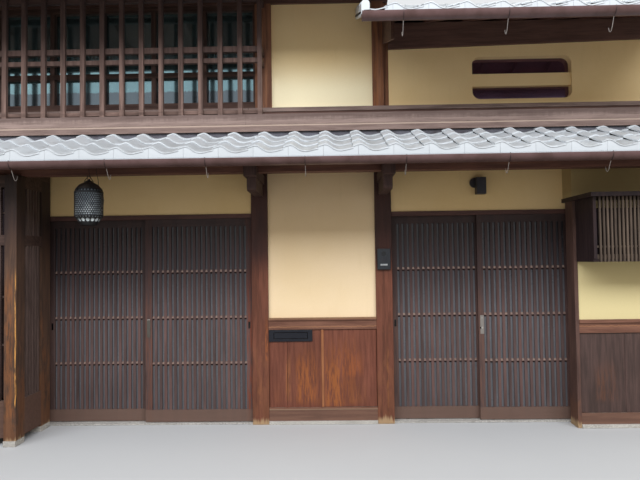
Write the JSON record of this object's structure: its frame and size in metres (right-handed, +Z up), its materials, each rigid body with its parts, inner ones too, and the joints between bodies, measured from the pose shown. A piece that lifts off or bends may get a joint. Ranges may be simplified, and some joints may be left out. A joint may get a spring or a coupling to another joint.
{
  "type": "machiya townhouse",
  "caption": "Two-storey timber townhouse in a row with sliding lattice doors, lattice bay, window box, tiled pent roof and stepped tiled main roofs.",
  "frame": {"origin": "on the ground, in the middle of the plan between the party walls and between the front and rear wall faces", "axes": "+X along the street front to the right seen from the street, +Y from the street front to the rear, +Z up"},
  "size_m": [7.7, 7.543, 5.5748],
  "materials": {
    "earth_floor": "beaten earth and lime floor, matt",
    "stone": "pale weathered granite strip",
    "post_wood": "red-brown stained cedar, worn to orange near the foot",
    "rail_wood": "red-brown stained cedar, weathered",
    "board_wood": "red-brown stained cedar boards with worn orange patches",
    "door_wood": "red-brown stained cypress lattice, matt",
    "lattice_wood": "dark stained lattice bars",
    "beam_wood": "dark stained beams under the eaves",
    "weathered_wood": "grey-brown weathered timber",
    "plaster": "pale yellow clay plaster, matt",
    "party_plaster": "plain clay plaster on the party walls",
    "roof_tile": "silver-grey smoked clay tile, satin",
    "gutter_metal": "brown painted half-round gutter",
    "black_metal": "black painted metal, satin",
    "slate_plastic": "dark slate plastic",
    "lantern_iron": "dark grey pierced metal, worn bright on its edges",
    "door_glass": "grey-blue glass behind the bars",
    "window_glass": "clear window glass that mirrors the sky"
  },
  "bodies": {
    "house": {"barge_boards": "beam_wood", "bay_boards": "board_wood", "bay_lattice": "lattice_wood", "bay_posts": "post_wood", "bay_rails": "rail_wood", "bay_stones": "stone", "box_lattice": "lattice_wood", "door_lintels": "rail_wood", "door_plaster": "plaster", "door_thresholds": "stone", "eave_brackets": "beam_wood", "eave_purlin": "beam_wood", "front_girder": "beam_wood", "front_posts": "post_wood", "ground_slab": "earth_floor", "intercom": "slate_plastic", "lantern": "lantern_iron", "left_party_wall": "party_plaster", "left_roof_boards": "beam_wood", "left_roof_tiles": "roof_tile", "mail_plate": "black_metal", "middle_plaster": "plaster", "pent_gutter": "gutter_metal", "pent_roof_boards": "beam_wood", "pent_roof_tiles": "roof_tile", "rear_posts": "weathered_wood", "rear_wall": "plaster", "rear_windows": "beam_wood", "ridge_beams": "beam_wood", "right_jamb": "post_wood", "right_party_wall": "party_plaster", "right_plaster": "plaster", "right_roof_boards": "beam_wood", "right_roof_tiles": "roof_tile", "roof_ridges": "roof_tile", "sill_beam": "weathered_wood", "step_wall": "plaster", "stone_strips": "stone", "upper_gutters": "gutter_metal", "upper_lattice": "weathered_wood", "upper_middle_plaster": "plaster", "upper_posts": "weathered_wood", "upper_rail": "weathered_wood", "upper_right_plaster": "plaster", "upper_window": "beam_wood", "wall_boards": "board_wood", "wall_lamp": "black_metal", "wall_plates": "beam_wood", "wall_rails": "rail_wood", "window_box": "board_wood", "window_glass": "window_glass"},
    "door_1_left": {"door_1_left_panel": "door_wood", "door_1_left_glass": "door_glass"},
    "door_1_right": {"door_1_right_panel": "door_wood", "door_1_right_glass": "door_glass"},
    "door_2_left": {"door_2_left_panel": "door_wood", "door_2_left_glass": "door_glass"},
    "door_2_right": {"door_2_right_panel": "door_wood", "door_2_right_glass": "door_glass"},
    "mail_flap": {"mail_flap": "black_metal"}
  },
  "joints": [
    {"name": "door_1_left_slide", "type": "slide", "parent": "house", "child": "door_1_left", "axis": [1, 0, 0], "range_m": [0, 0.958]},
    {"name": "door_1_right_slide", "type": "slide", "parent": "house", "child": "door_1_right", "axis": [-1, 0, 0], "range_m": [0, 0.906]},
    {"name": "door_2_left_slide", "type": "slide", "parent": "house", "child": "door_2_left", "axis": [1, 0, 0], "range_m": [0, 0.798]},
    {"name": "door_2_right_slide", "type": "slide", "parent": "house", "child": "door_2_right", "axis": [-1, 0, 0], "range_m": [0, 0.772]},
    {"name": "mail_flap_hinge", "type": "hinge", "parent": "house", "child": "mail_flap", "pos_m": [0.3435, -2.937, 0.8155], "axis": [1, 0, 0], "range_deg": [0, 70]}
  ]
}
